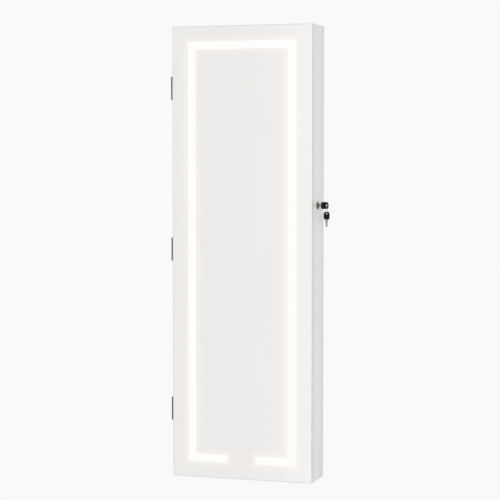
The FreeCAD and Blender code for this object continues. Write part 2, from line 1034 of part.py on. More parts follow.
def lock_housing():
    """A threaded barrel through the side panel with a round flange outside."""
    flange = rod(flange_r, lock_point(half_w), lock_point(half_w + flange_t))
    rim = [edge for edge in flange.Edges if edge.BoundBox.XMin > half_w + flange_t / 2]
    flange = flange.makeFillet(flange_edge, [rim[0]])
    barrel = rod(barrel_outer_r, lock_point(barrel_end), lock_point(half_w))
    bore = rod(plug_r + lock_fit, lock_point(barrel_end), lock_point(half_w + flange_t))
    shoulder = plug_front - plug_head_t - lock_fit
    seat = rod(plug_head_r + lock_fit, lock_point(shoulder), lock_point(half_w + flange_t))
    return joined([flange, barrel]).cut([bore, seat]).Solids[0]


def lock_nut():
    """A hexagonal nut against the inside of the panel."""
    corners = [
        V(inner_x, lock_y + nut_r * math.cos(math.radians(a)), lock_z + nut_r * math.sin(math.radians(a)))
        for a in range(0, 360, 60)
    ]
    nut = prism(corners, X * -nut_t)
    return nut.cut(rod(barrel_outer_r, lock_point(inner_x - nut_t), lock_point(inner_x))).Solids[0]


def lock_plug():
    """The plug that the key turns: head, round body with the keyway, and a square for the cam."""
    half = cam_square / 2
    body = rod(plug_r, lock_point(cam_x[1]), lock_point(plug_front))
    head = rod(plug_head_r, lock_point(plug_front - plug_head_t), lock_point(plug_front))
    square = box(cam_x, (lock_y - half, lock_y + half), (lock_z - half, lock_z + half))
    keyway = box(
        (key_tip - keyway_fit, plug_front),
        (lock_y - blade_t / 2 - keyway_fit, lock_y + blade_t / 2 + keyway_fit),
        (lock_z - blade_height / 2 - keyway_fit, lock_z + blade_height / 2 + keyway_fit),
    )
    thread = rod(cam_screw_r, lock_point(cam_x[0]), lock_point(cam_x[0] + cam_screw_depth))
    return joined([body, head, square]).cut([keyway, thread]).Solids[0]


def cam_slot():
    """The curved slot of the hook: it follows the peg's circle and is open on the leading edge."""
    outer = Part.makeCylinder(cam_peg_r + hook_slot_half, cam_t, lock_point(cam_x[0]), X)
    inner = Part.makeCylinder(cam_peg_r - hook_slot_half, cam_t, lock_point(cam_x[0]), X)
    leading = box(cam_x, (lock_y, lock_y - cam_width), (lock_z, lock_z - cam_tip))
    bed = lock_z - cam_peg_r
    end = rod(hook_slot_half, V(cam_x[0], lock_y, bed), V(cam_x[1], lock_y, bed))
    return [outer.cut(inner).common(leading), end]


def lock_cam():
    """A flat arm with a hook at its end; it points down while the lock is open."""
    half = cam_square / 2 + lock_fit
    arm = box(
        cam_x,
        (lock_y - cam_width / 2, lock_y + cam_width / 2),
        (lock_z, lock_z - cam_tip),
    )
    tip = Part.makeCylinder(cam_tip, cam_t, lock_point(cam_x[0]), X)
    boss = rod(cam_boss_r, lock_point(cam_x[0]), lock_point(cam_x[1]))
    hole = box(cam_x, (lock_y - half, lock_y + half), (lock_z - half, lock_z + half))
    return joined([arm.common(tip), boss]).cut(cam_slot() + [hole]).Solids[0]


def cam_screw():
    """A cheese-head screw that clamps the cam to the plug."""
    head = rod(cam_head_r, lock_point(cam_x[0] - cam_head_t), lock_point(cam_x[0]))
    shank = rod(cam_screw_r, lock_point(cam_x[0]), lock_point(cam_x[0] + cam_screw_depth))
    slot = box(
        (cam_x[0] - cam_head_t, cam_x[0] - cam_head_t + recess_depth),
        (lock_y - recess_across / 2, lock_y + recess_across / 2),
        (lock_z - cam_head_r, lock_z + cam_head_r),
    )
    return joined([head, shank]).cut(slot).Solids[0]


def keeper_base():
    """Sides and ends of the keeper's base."""
    half = keeper_gap / 2 + keeper_t
    xs = (cam_middle - half - keeper_foot, cam_middle + half)
    return xs, (lock_z - keeper_height / 2, lock_z + keeper_height / 2)


def keeper_bracket():
    """A base on the door with two ears that hold the peg."""
    base_x, base_z = keeper_base()
    base = box(base_x, (door_back, door_back + keeper_t), base_z)
    ears = []
    for side in (-1, 1):
        near = cam_middle + side * keeper_gap / 2
        xs = (near, near + side * keeper_t)
        zs = (lock_z - ear_width / 2, lock_z + ear_width / 2)
        ears.append(box(xs, (door_back, peg_y + ear_beyond_peg), zs))
    reach = keeper_gap / 2 + keeper_t
    peg_hole = rod(peg_r, V(cam_middle - reach, peg_y, lock_z), V(cam_middle + reach, peg_y, lock_z))
    return joined([base] + ears).cut([peg_hole] + screw_holes(door_screw_places())).Solids[0]


def keeper_peg():
    reach = keeper_gap / 2 + keeper_t
    return rod(peg_r, V(cam_middle - reach, peg_y, lock_z), V(cam_middle + reach, peg_y, lock_z))


# Keys, drawn pointing along -X with the inner edge of the bow at x = 0 and the axis at y = z = 0


def blade_outline():
    """Tip, notched lower edge, wide stop, and the tongue that sits in the bow."""
    half = blade_height / 2
    stop = stop_height / 2
    tongue = tongue_height / 2
    neck = stop_length + stop_taper
    shoulder = blade_point - blade_length
    points = [V(tongue_length, 0, tongue), V(0, 0, tongue), V(0, 0, stop), V(-stop_length, 0, stop)]
    points += [V(-neck, 0, half), V(shoulder, 0, half)]
    points += [V(-blade_length, 0, half - blade_point), V(-blade_length, 0, blade_point - half)]
    points += [V(shoulder, 0, -half)]
    for index in range(int((blade_length - first_cut - neck) // key_cut_pitch)):
        start = first_cut - blade_length + index * key_cut_pitch
        points.append(V(start, 0, -half))
        points.append(V(start + key_cut_pitch / 3, 0, key_cut_depth - half))
        points.append(V(start + key_cut_pitch * 2 / 3, 0, -half))
    points += [V(-neck, 0, -half), V(-stop_length, 0, -stop), V(0, 0, -stop)]
    points += [V(0, 0, -tongue), V(tongue_length, 0, -tongue)]
    return points


def blank_blade():
    blade = prism(blade_outline(), Y * blade_t)
    blade.translate(Y * -blade_t / 2)
    return blade.Solids[0]


def bow_outline():
    """A square-shouldered bow with larger rounds at its outer end."""
    half = bow_width / 2
    c = bow_corner
    k = c * (1 - math.sqrt(0.5))
    r = bow_round
    j = r * (1 - math.sqrt(0.5))
    far = bow_length - r
    end = bow_length
    edges = [
        Part.LineSegment(V(0, 0, c - half), V(0, 0, half - c)),
        Part.Arc(V(0, 0, half - c), V(k, 0, half - k), V(c, 0, half)),
        Part.LineSegment(V(c, 0, half), V(far, 0, half)),
        Part.Arc(V(far, 0, half), V(end - j, 0, half - j), V(end, 0, half - r)),
        Part.LineSegment(V(end, 0, half - r), V(end, 0, r - half)),
        Part.Arc(V(end, 0, r - half), V(end - j, 0, j - half), V(far, 0, -half)),
        Part.LineSegment(V(far, 0, -half), V(c, 0, -half)),
        Part.Arc(V(c, 0, -half), V(k, 0, k - half), V(0, 0, c - half)),
    ]
    return Part.Wire([edge.toShape() for edge in edges])


def bow_slot():
    """A slot with round ends across the outer end of the bow, for the ring."""
    centre = bow_length - bow_slot_inset
    radius = bow_slot_along / 2
    offset = bow_slot_across / 2 - radius
    cuts = [rod(radius, V(centre, -bow_t, z), V(centre, bow_t, z)) for z in (-offset, offset)]
    cuts.append(box((centre - radius, centre + radius), (-bow_t, bow_t), (-offset, offset)))
    return joined(cuts)


def blank_bow():
    """The plastic grip: rounded edges, a slot for the ring and a pocket for the tongue."""
    bow = Part.Face(bow_outline()).extrude(Y * bow_t)
    bow.translate(Y * -bow_t / 2)
    flat = [edge for edge in bow.Edges if edge.BoundBox.YLength < bow_edge]
    bow = bow.makeFillet(bow_edge, flat)
    pocket = box((0, tongue_length), (-blade_t / 2, blade_t / 2), (-tongue_height / 2, tongue_height / 2))
    return bow.cut([bow_slot(), pocket]).Solids[0]


def in_lock(shape):
    """A key piece moved to its place in the lock."""
    placed = shape.copy()
    placed.translate(lock_point(bow_x))
    return placed


def on_ring(shape):
    """A key piece hung from the ring with its blade down."""
    placed = shape.copy()
    placed.rotate(V(0, 0, 0), Y, -90)
    placed.rotate(V(0, 0, 0), Z, -spare_turn)
    placed.translate(V(bow_slot_x, lock_y, spare_slot_z - bow_length + bow_slot_inset))
    return placed


def key_ring():
    return Part.makeTorus(ring_r, ring_wire_r, V(bow_slot_x, lock_y, ring_z), X)


def sub_parts():
    """Every node with its shape."""
    parts = {
        "left_side_panel": left_side_panel(),
        "right_side_panel": right_side_panel(),
        "top_panel": end_panel((inner_top, top)),
        "bottom_panel": end_panel((bottom, inner_bottom)),
        "upper_wall_rail": wall_rail((inner_top - rail_height, inner_top)),
        "lower_wall_rail": wall_rail((inner_bottom, inner_bottom + rail_height)),
        "carcass_dowels": carcass_dowels(),
        "back_panel": back_panel(),
        "back_lining": back_lining(),
        "lower_shelf": shelf_slab(lower_shelf_z),
        "earring_shelf": shelf_slab(earring_shelf_z),
        "middle_shelf": shelf_slab(middle_shelf_z),
        "top_shelf": shelf_slab(top_shelf_z),
        "shelf_guards": shelf_guards(),
        "column_divider": column_divider(),
        "necklace_rail": necklace_rail(),
        "necklace_hooks": necklace_hooks(),
        "ring_tray": ring_tray(),
        "ring_cushions": ring_cushions(),
        "earring_bars": earring_bars(),
        "bracelet_rod": bracelet_rod(),
        "rod_sockets": rod_sockets(),
        "catch_housing": catch_housing(),
        "catch_magnet": catch_magnet(),
        "cabinet_screws": cabinet_screws(),
        "lock_housing": lock_housing(),
        "lock_nut": lock_nut(),
        "lock_plug": lock_plug(),
        "lock_cam": lock_cam(),
        "cam_screw": cam_screw(),
        "key_blade": in_lock(blank_blade()),
        "key_bow": in_lock(blank_bow()),
        "key_ring": key_ring(),
        "spare_key_blade": on_ring(blank_blade()),
        "spare_key_bow": on_ring(blank_bow()),
        "hinge_pins": hinge_pins(),
        "door_board": door_board(),
        "mirror_glass": mirror_glass(),
        "led_strip": led_strip(),
        "led_chips": led_chips(),
        "led_leads": led_leads(),
        "touch_sensor": touch_sensor(),
        "door_liner": door_liner(),
        "door_bumpers": door_bumpers(),
        "door_screws": door_screws(),
        "strike_plate": strike_plate(),
        "keeper_bracket": keeper_bracket(),
        "keeper_peg": keeper_peg(),
        "battery_box": battery_box(),
        "battery_lid": battery_lid(),
        "battery_cells": battery_cells(),
        "battery_contacts": battery_contacts(),
    }
    for name, level in zip(("lower", "middle", "upper"), hinge_levels):
        parts[name + "_body_leaf"] = body_leaf(level)
        parts[name + "_door_leaf"] = door_leaf(level)
    return parts


def main():
    os.makedirs("parts", exist_ok=True)
    for name, shape in sub_parts().items():
        shape.exportStep(os.path.join("parts", name + ".step"))


main()
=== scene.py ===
import json
import math

import bmesh
import bpy
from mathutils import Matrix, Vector, noise


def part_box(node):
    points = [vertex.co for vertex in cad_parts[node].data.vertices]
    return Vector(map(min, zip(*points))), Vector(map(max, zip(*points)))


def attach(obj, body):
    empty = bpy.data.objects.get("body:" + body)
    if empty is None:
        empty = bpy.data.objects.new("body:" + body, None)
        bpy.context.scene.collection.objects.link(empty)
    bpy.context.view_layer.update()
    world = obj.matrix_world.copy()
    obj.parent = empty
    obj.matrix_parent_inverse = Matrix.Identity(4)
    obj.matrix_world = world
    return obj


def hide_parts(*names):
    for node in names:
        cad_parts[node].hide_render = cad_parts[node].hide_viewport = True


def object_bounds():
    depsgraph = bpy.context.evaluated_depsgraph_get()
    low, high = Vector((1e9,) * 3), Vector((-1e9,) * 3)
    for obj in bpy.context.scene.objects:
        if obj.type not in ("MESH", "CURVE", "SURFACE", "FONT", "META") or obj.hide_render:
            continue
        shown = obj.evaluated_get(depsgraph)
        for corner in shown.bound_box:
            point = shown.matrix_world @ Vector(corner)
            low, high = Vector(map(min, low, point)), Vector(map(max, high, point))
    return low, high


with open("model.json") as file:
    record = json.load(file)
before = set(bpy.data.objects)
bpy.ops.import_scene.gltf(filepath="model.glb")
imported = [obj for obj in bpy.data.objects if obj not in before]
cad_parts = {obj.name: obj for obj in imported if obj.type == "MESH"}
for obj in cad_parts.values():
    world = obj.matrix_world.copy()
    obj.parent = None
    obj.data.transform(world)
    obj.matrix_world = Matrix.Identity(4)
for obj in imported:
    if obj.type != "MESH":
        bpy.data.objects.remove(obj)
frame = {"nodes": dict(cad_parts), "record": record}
cad_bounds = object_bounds()

# A jewelry cabinet that hangs on a wall: a mirror door with a lit, frosted band on a shallow white cabinet.
# Lengths are in metres. +X is right, -Y is towards the viewer and +Z is up.

# Camera, from the corners of the cabinet in the photograph; its angles are in degrees
PICTURE = 500               # pixels on a side
FOCAL_PIXELS = 1683.0
CAMERA_PLACE = (1.3843, -4.3204, 0.2541)
CAMERA_TURN = 17.92
CAMERA_DIP = 3.15
SENSOR = 36.0               # millimetres

# Mirror glass
BAND_WIDTH = 0.0208         # frosted band
STRIP_WIDTH = 0.010         # LED strip behind it
BAND_EDGE = 0.0004          # how far the frosting takes to fade in
GLOW_REACH = 0.026          # how far the light spreads in the glass
GLOW_FALL = 2.2             # power at which it fades on the way
RIM_WIDTH = 0.003           # ground rim of the face
CUT_START = 0.00002         # how far behind the face its polished edge begins to show
CUT_WHOLE = 0.00006         # and where it shows in full

# Magnet and cells; an edge is the width over which one surface goes over into the next
POLE_PLATE = 0.001          # steel plate on each side of the magnet
POLE_PLATE_EDGE = 0.0001
CELL_RIM = 0.0022           # bare metal at the end of a cell
CELL_RIM_EDGE = 0.0003
CELL_BAND = 0.012           # bare metal and pale band together
CELL_BAND_EDGE = 0.0002

# Lacquer of the body, and the painted shade that greys it towards the wall
WALL_SHADE_REACH = 0.045          # distance from the wall over which painted shade greys the lacquer
WALL_SHADE_EDGE = 0.010           # greyest strip of painted shade, next to the wall

# Ring cushions
CUSHION_PITCH = 0.024
CUSHION_GAP = 0.002         # between the solids that the rolls stand for
ROLL_SLACK = 0.0003         # left between neighbouring rolls
ROLL_END = 0.007            # over which the end of a roll closes
ROLL_FOLD = 0.62            # what is left of its width at the sewn end
ROLL_ROUND = 2.0            # power of the curve of its section: a circle in front
ROLL_SQUARE = 4.2           # and nearly a square behind
SLEEVE_KINDS = 4            # sleeves that are sewn and stuffed; the rolls repeat them
SLEEVE_AROUND = 48          # vertices round a sleeve
SLEEVE_ALONG = 72           # faces from end to end
SLEEVE_SLIM = 0.96          # share of its width that it has before it is stuffed
FOLDS = 3.2                 # how close the folds at its ends lie
FOLD_DEPTH = 0.0011
SLACK_DEPTH = 0.0003        # unevenness of the velvet between the ends
SLACK_ALONG = 35            # how close its dents lie along a roll, and round it
SLACK_ROUND = 40
FOAM_PRESSURE = 4.0
FABRIC_SLACK = 0.03         # how much the fabric may grow
FABRIC_CAP = 0.003          # how far it may move
STUFFING_FRAMES = 14

# Studio; the lamps' powers are in watts
BACKDROP = (250, 248, 248)
DOME = (244, 245, 248)
DOME_STRENGTH = 0.62
KEY_PLACE = (-2.8, -3.2, 2.5)
KEY_SIZE = 2.0
KEY_POWER = 62
FILL_PLACE = (2.2, -2.2, 0.7)
FILL_SIZE = 1.2
FILL_POWER = 27
FLOOR_DROP = 0.55           # the cabinet hangs this far above the floor
FLOOR_RADIUS = 2.2
FLOOR_FADE = (0.3, 0.95)    # shares of its radius between which it goes over into the backdrop
FLOOR_GLOW = 0.75           # share of the backdrop's own light in what the camera sees of its middle
FLOOR_SIDES = 96


def srgb(red, green, blue):
    """A colour as it is seen, 0 to 255 a channel, in the renderer's linear values."""
    channels = []
    for value in (red, green, blue):
        share = value / 255
        channels.append(share / 12.92 if share < 0.04045 else ((share + 0.055) / 1.055) ** 2.4)
    return (*channels, 1.0)


# Shader expressions


class Wire:
    """An output socket. Python's operators on it add the Math nodes of the expression."""

    def __init__(self, finish, socket):
        self.finish = finish
        self.socket = socket

    def out(self, name):
        """Another output of the same node."""
        return Wire(self.finish, self.socket.node.outputs[name])

    def math(self, operation, *terms):
        """A Math node on the terms, each a wire or a number."""
        sockets = dict(enumerate(terms))
        return self.finish.node("ShaderNodeMath", {"operation": operation}, sockets)

    def __add__(self, other):
        return self.math("ADD", self, other)

    __radd__ = __add__

    def __sub__(self, other):
        return self.math("SUBTRACT", self, other)

    def __rsub__(self, other):
        return self.math("SUBTRACT", other, self)

    def __mul__(self, other):
        return self.math("MULTIPLY", self, other)

    __rmul__ = __mul__

    def __truediv__(self, other):
        return self.math("DIVIDE", self, other)

    def __pow__(self, other):
        return self.math("POWER", self, other)

    def __neg__(self):
        return self.math("MULTIPLY", self, -1.0)

    def __abs__(self):
        return self.math("ABSOLUTE", self)

    def over(self, other):
        """The greater of the two."""
        return self.math("MAXIMUM", self, other)

    def under(self, other):
        """The lesser of the two."""
        return self.math("MINIMUM", self, other)


class Finish:
    """A node tree of a material or the world, with one method that makes any node."""

    def __init__(self, owner):
        owner.use_nodes = True
        self.owner = owner
        self.tree = owner.node_tree
        self.tree.nodes.clear()
        self.position = None

    def node(self, kind, settings=None, sockets=None, output=0):
        """A node of any kind: its settings come first, then the values or wires of its sockets."""
        made = self.tree.nodes.new(kind)
        for name, value in (settings or {}).items():
            setattr(made, name, value)
        for name, value in (sockets or {}).items():
            socket = pick(made.inputs, name)
            if isinstance(value, Wire):
                self.tree.links.new(value.socket, socket)
            else:
                socket.default_value = value
        return Wire(self, pick(made.outputs, output))

    def place(self):
        """The point of the surface in the cabinet's own frame."""
        if self.position is None:
            self.position = self.node("ShaderNodeTexCoord", output="Object")
        return self.position

    def axis(self, name):
        """The place's X, Y or Z."""
        return self.node("ShaderNodeSeparateXYZ", {}, {"Vector": self.place()}, name)

    def grain(self, size, detail=2.0, stretch=(1, 1, 1), rough=0.5):
        """Noise with features of one size, longer along each axis by its stretch."""
        scale = tuple(1 / (size * longer) for longer in stretch)
        mapped = self.node("ShaderNodeMapping", {}, {"Vector": self.place(), "Scale": scale})
        sockets = {"Vector": mapped, "Scale": 1.0, "Detail": detail, "Roughness": rough}
        return self.node("ShaderNodeTexNoise", {}, sockets)

    def rise(self, value, low, high):
        """0 up to low, 1 from high on, and a smooth rise between."""
        sockets = {"Value": value, "From Min": low, "From Max": high}
        return self.node("ShaderNodeMapRange", {"interpolation_type": "SMOOTHSTEP"}, sockets)

    def blend(self, share, first, second):
        """A colour that goes from the first to the second with the share."""
        sockets = {"Factor": share, "A": first, "B": second}
        return self.node("ShaderNodeMix", {"data_type": "RGBA"}, sockets, "Result")

    def relief(self, height, depth, corner=0.0):
        """A normal for a height of 0 to 1 that stands depth proud, with corners of a radius."""
        sockets = {"Height": height, "Distance": depth, "Strength": 1.0}
        if corner:
            sockets["Normal"] = self.node("ShaderNodeBevel", {"samples": 4}, {"Radius": corner})
        return self.node("ShaderNodeBump", {}, sockets)

    def surface(self, sockets):
        """The shader of the material and the output that it goes to."""
        shader = self.node("ShaderNodeBsdfPrincipled", {}, sockets)
        self.node("ShaderNodeOutputMaterial", {}, {"Surface": shader}, None)
        return self.owner


def pick(sockets, name):
    """The socket of that name or number among those in use."""
    if name is None:
        return None
    if isinstance(name, int):
        return sockets[name]
    return next(socket for socket in sockets if socket.enabled and socket.name == name)


def finish_named(name):
    return Finish(bpy.data.materials.new(name))


# Finishes


def lacquer(name, deep, pale):
    """Satin lacquer on smooth board: a faint orange peel, soft corners, and painted shade that makes it
    greyer towards the wall.
    """
    finish = finish_named(name)
    cloud = finish.grain(0.18, 3.0)
    peel = finish.grain(0.0016, 1.0)
    dust = finish.grain(0.012, 4.0, rough=0.7)
    y = finish.axis("Y")
    # Painted shade: the colour greys over the reach in front of the wall, and most in the strip next to it.
    painted_wall_shade = 0.55 * finish.rise(y, -WALL_SHADE_REACH, 0.0) + 0.45 * finish.rise(y, -WALL_SHADE_EDGE, -WALL_SHADE_EDGE * 0.8)
    tone = finish.blend(painted_wall_shade, finish.blend(cloud, deep, pale), srgb(225, 223, 220))
    return finish.surface({
        "Base Color": finish.blend(finish.rise(dust, 0.62, 0.80) * 0.25, tone, srgb(226, 224, 219)),
        "Roughness": 0.34 + 0.10 * dust,
        "Normal": finish.relief(peel, 0.00006, 0.0007),
        "Coat Roughness": 0.12,
        "Coat Weight": 0.15,
    })


def white_lacquer():
    return lacquer("white_lacquer", srgb(236, 235, 231), srgb(241, 240, 237))


def door_lacquer():
    """The door's board is a shade greyer than the body."""
    return lacquer("door_lacquer", srgb(226, 225, 222), srgb(231, 230, 227))


def back_board():
    """Hardboard, brown and mottled, with short pressed fibres."""
    finish = finish_named("back_board")
    fibre = finish.grain(0.0011, 4.0, (3.5, 1, 1), 0.65)
    mottle = finish.grain(0.03, 4.0, rough=0.6)
    base = finish.blend(mottle, srgb(152, 121, 86), srgb(176, 146, 108))
    speck = finish.rise(fibre, 0.54, 0.72)
    return finish.surface({
        "Base Color": finish.blend(speck * 0.6, base, srgb(104, 78, 52)),
        "Roughness": 0.55 + 0.2 * fibre,
        "Normal": finish.relief(fibre, 0.00008),
    })


def rail_wood():
    """Raw beech along X: fine pores, growth lines and small flecks."""
    finish = finish_named("rail_wood")
    drift = finish.grain(0.05, 2.0, (7, 1, 1))
    growth = 230 * finish.axis("Z") + 90 * finish.axis("Y") + 3.5 * drift
    rings = finish.node("ShaderNodeTexNoise", {"noise_dimensions": "1D"}, {"W": growth, "Scale": 1.0})
    pores = finish.grain(0.0007, 2.0, (14, 1, 1))
    fleck = finish.grain(0.0022, 1.0, (5, 1, 1))
    warm = finish.blend(rings, srgb(205, 168, 122), srgb(226, 195, 152))
    marked = finish.blend(finish.rise(pores, 0.58, 0.72) * 0.55, warm, srgb(160, 116, 74))
    return finish.surface({
        "Base Color": finish.blend(finish.rise(fleck, 0.66, 0.78) * 0.5, marked, srgb(184, 140, 96)),
        "Roughness": 0.52 + 0.2 * pores,
        "Normal": finish.relief(pores, 0.00012, 0.0006),
    })


def velvet(name, deep, pale):
    """Short pile: it is darker where it lies one way and paler where it lies the other."""
    finish = finish_named(name)
    nap = finish.grain(0.05, 2.0, (1, 1, 2.2), 0.45)
    swipe = finish.grain(0.014, 2.0, (1, 1, 3))
    pile = finish.grain(0.00055, 2.0)
    tuft = finish.grain(0.0021, 2.0)
    brushed = finish.rise(0.7 * nap + 0.3 * swipe, 0.30, 0.72)
    lit = finish.blend(0.5 * brushed + 0.5 * pile, deep, pale)
    return finish.surface({
        "Base Color": lit,
        "Roughness": 0.82 + 0.12 * tuft,
        "Normal": finish.relief(0.6 * pile + 0.4 * tuft, 0.00035, 0.0008),
        "Sheen Weight": 0.55,
        "Sheen Roughness": 0.38,
        "Sheen Tint": srgb(214, 213, 218),
        "Specular IOR Level": 0.2,
    })


def lining_velvet():
    return velvet("lining_velvet", srgb(114, 112, 116), srgb(136, 134, 138))


def cushion_velvet():
    return velvet("cushion_velvet", srgb(116, 114, 118), srgb(146, 144, 148))


def clear_acrylic():
    """Clear acrylic with polished faces and a few hairline scratches."""
    finish = finish_named("clear_acrylic")
    hair = finish.rise(finish.grain(0.0006, 1.0, (40, 1, 3)), 0.66, 0.74)
    wipe = finish.grain(0.02, 3.0)
    facing = finish.node("ShaderNodeTexCoord", output="Normal")
    cut = 1 - abs(finish.node("ShaderNodeSeparateXYZ", {}, {"Vector": facing}, "Y"))
    return finish.surface({
        "Base Color": finish.blend(cut, srgb(238, 243, 243), srgb(214, 228, 228)),
        "Roughness": 0.03 + 0.10 * hair + 0.04 * wipe,
        "Alpha": 0.20 + 0.06 * hair + 0.42 * cut,
        "Normal": finish.relief(wipe, 0.00002, 0.0002),
        "IOR": 1.49,
    })


def metal(name, colour, worn, roughness, stretch=(1, 1, 1), scratch=0.00003, corner=0.00025):
    """A plated metal: cloudy tone, brushed or rubbed marks along the stretch, and small pits."""
    finish = finish_named(name)
    cloud = finish.grain(0.006, 3.0)
    marks = finish.grain(0.00035, 3.0, stretch, 0.6)
    pits = finish.grain(0.0010, 2.0)
    tone = finish.blend(finish.rise(cloud, 0.35, 0.70), colour, worn)
    return finish.surface({
        "Base Color": finish.blend(finish.rise(pits, 0.66, 0.80) * 0.35, tone, srgb(58, 55, 50)),
        "Metallic": 1.0,
        "Roughness": roughness + 0.14 * marks,
        "Normal": finish.relief(marks, scratch, corner),
    })


def hook_metal():
    return metal("hook_metal", srgb(206, 205, 203), srgb(222, 221, 219), 0.12)


def hinge_metal():
    return metal("hinge_metal", srgb(92, 87, 79), srgb(114, 109, 100), 0.30, (1, 1, 8), 0.00005)


def screw_metal():
    return metal("screw_metal", srgb(170, 169, 164), srgb(193, 192, 187), 0.26)


def lock_metal():
    return metal("lock_metal", srgb(106, 101, 94), srgb(130, 125, 117), 0.28, (1, 6, 6))


def plug_metal():
    return metal("plug_metal", srgb(28, 24, 20), srgb(42, 37, 32), 0.24)


def key_metal():
    return metal("key_metal", srgb(172, 167, 155), srgb(196, 191, 180), 0.22, (8, 1, 1), 0.00004, 0.00015)


def ring_wire():
    return metal("ring_wire", srgb(178, 177, 175), srgb(205, 204, 202), 0.16, corner=0)


def contact_metal():
    return metal("contact_metal", srgb(186, 184, 180), srgb(208, 206, 202), 0.22)


def moulded(name, colour, scuffed, roughness, texture=0.00005, corner=0.0004, shine=0.5):
    """Moulded plastic: spark-eroded texture, a little unevenness and scuffs."""
    finish = finish_named(name)
    skin = finish.grain(0.00045, 2.0)
    cloud = finish.grain(0.02, 3.0)
    scuff = finish.rise(finish.grain(0.004, 4.0, rough=0.75), 0.64, 0.76)
    return finish.surface({
        "Base Color": finish.blend(0.4 * cloud + 0.45 * scuff, colour, scuffed),
        "Roughness": roughness + 0.12 * skin + 0.08 * scuff,
        "Normal": finish.relief(skin, texture, corner),
        "Specular IOR Level": shine,
    })


def bow_plastic():
    return moulded("bow_plastic", srgb(14, 13, 12), srgb(24, 23, 21), 0.42, 0.00004, 0.0002, 0.2)


def catch_plastic():
    return moulded("catch_plastic", srgb(232, 231, 228), srgb(216, 214, 209), 0.30)


def box_plastic():
    return moulded("box_plastic", srgb(229, 228, 225), srgb(212, 210, 205), 0.42)


def strip_white():
    return moulded("strip_white", srgb(236, 236, 232), srgb(218, 217, 210), 0.34, 0.00002)


def lead_cover():
    return moulded("lead_cover", srgb(222, 221, 218), srgb(205, 203, 198), 0.45, 0.00002, 0.0002)


def bumper_rubber():
    """Clear soft discs, slightly cloudy."""
    finish = finish_named("bumper_rubber")
    cloud = finish.grain(0.002, 3.0)
    return finish.surface({
        "Base Color": finish.blend(cloud, srgb(224, 224, 221), srgb(240, 240, 238)),
        "Roughness": 0.28 + 0.2 * cloud,
        "Normal": finish.relief(cloud, 0.00005, 0.0005),
        "IOR": 1.41,
    })


def chip_yellow():
    """Yellow phosphor, slightly grainy."""
    finish = finish_named("chip_yellow")
    grit = finish.grain(0.0003, 2.0)
    return finish.surface({
        "Base Color": finish.blend(grit, srgb(236, 208, 96), srgb(246, 226, 132)),
        "Roughness": 0.40 + 0.2 * grit,
        "Normal": finish.relief(grit, 0.00003),
    })


def magnet_metal():
    """A dark ferrite block between two bare steel plates."""
    finish = finish_named("magnet_metal")
    low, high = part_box("catch_magnet")
    middle = (low.x + high.x) / 2
    inside = (high.x - low.x) / 2 - POLE_PLATE
    aside = abs(finish.axis("X") - middle)
    steel = finish.rise(aside, inside - POLE_PLATE_EDGE, inside)
    grit = finish.grain(0.0005, 3.0)
    ferrite = finish.blend(grit, srgb(46, 45, 46), srgb(66, 65, 66))
    return finish.surface({
        "Base Color": finish.blend(steel, ferrite, srgb(176, 176, 174)),
        "Metallic": steel,
        "Roughness": 0.55 - 0.25 * steel + 0.15 * grit,
        "Normal": finish.relief(grit, 0.00004, 0.0002),
    })


def cell_jacket():
    """Plain dark jackets, with a pale band and bare metal at each end."""
    finish = finish_named("cell_jacket")
    low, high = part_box("battery_cells")
    half = (high.x - low.x) / 2
    aside = abs(finish.axis("X"))
    bare = finish.rise(aside, half - CELL_RIM - CELL_RIM_EDGE, half - CELL_RIM)
    pale = finish.rise(aside, half - CELL_BAND, half - CELL_BAND + CELL_BAND_EDGE) * (1 - bare)
    grit = finish.grain(0.0008, 2.0)
    jacket = finish.blend(pale, srgb(62, 66, 72), srgb(190, 192, 192))
    return finish.surface({
        "Base Color": finish.blend(bare, jacket, srgb(196, 195, 190)),
        "Metallic": bare,
        "Roughness": 0.32 + 0.12 * grit,
        "Normal": finish.relief(grit, 0.00002, 0.0003),
    })


def band_distance(finish):
    """How far a point of the mirror lies outside the frosted band, below 0 within it."""
    strip_low, strip_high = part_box("led_strip")
    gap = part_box("led_leads")[1].x
    margin = (BAND_WIDTH - STRIP_WIDTH) / 2
    middle = (strip_low.z + strip_high.z) / 2
    half_x = strip_high.x + margin
    half_z = (strip_high.z - strip_low.z) / 2 + margin
    x = finish.axis("X")
    z = finish.axis("Z")
    across = abs(x) - half_x
    along = abs(z - middle) - half_z
    reach = (across.over(0) ** 2 + along.over(0) ** 2) ** 0.5
    outer = reach + across.over(along).under(0)
    inner = -(across + BAND_WIDTH).over(along + BAND_WIDTH)
    opening = (abs(x) - gap).over(z - middle)
    return outer.over(inner).over(-opening)


def mirror_rim(finish):
    """The ground rim of the mirror's face: 1 on it and 0 inside."""
    low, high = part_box("mirror_glass")
    half = (high - low) / 2
    across = half.x - abs(finish.axis("X") - (low.x + half.x))
    along = half.z - abs(finish.axis("Z") - (low.z + half.z))
    return finish.rise(across.under(along), RIM_WIDTH, RIM_WIDTH * 0.8)


def painted_reflection_silver(finish):
    """The colour of the silvered face, with a painted reflection in it: the face and its ground rim are
    paler towards the right, and the rim is darker elsewhere.
    """
    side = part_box("mirror_glass")[1].x
    x = finish.axis("X")
    haze = finish.grain(0.09, 3.0, (1, 1, 2.5))
    left = finish.blend(haze, srgb(239, 240, 238), srgb(242, 243, 241))
    right = finish.blend(haze, srgb(247, 248, 246), srgb(249, 250, 248))
    # Painted reflection: the silvered face gets paler from the middle towards the right.
    silver = finish.blend(finish.rise(x, 0.0, side * 1.1), left, right)
    # Painted reflection on the ground rim: darker, and pale only near the right edge.
    ground = finish.blend(finish.rise(x, side * 0.85, side), srgb(231, 233, 230), srgb(251, 252, 250))
    return finish.blend(mirror_rim(finish), silver, ground)


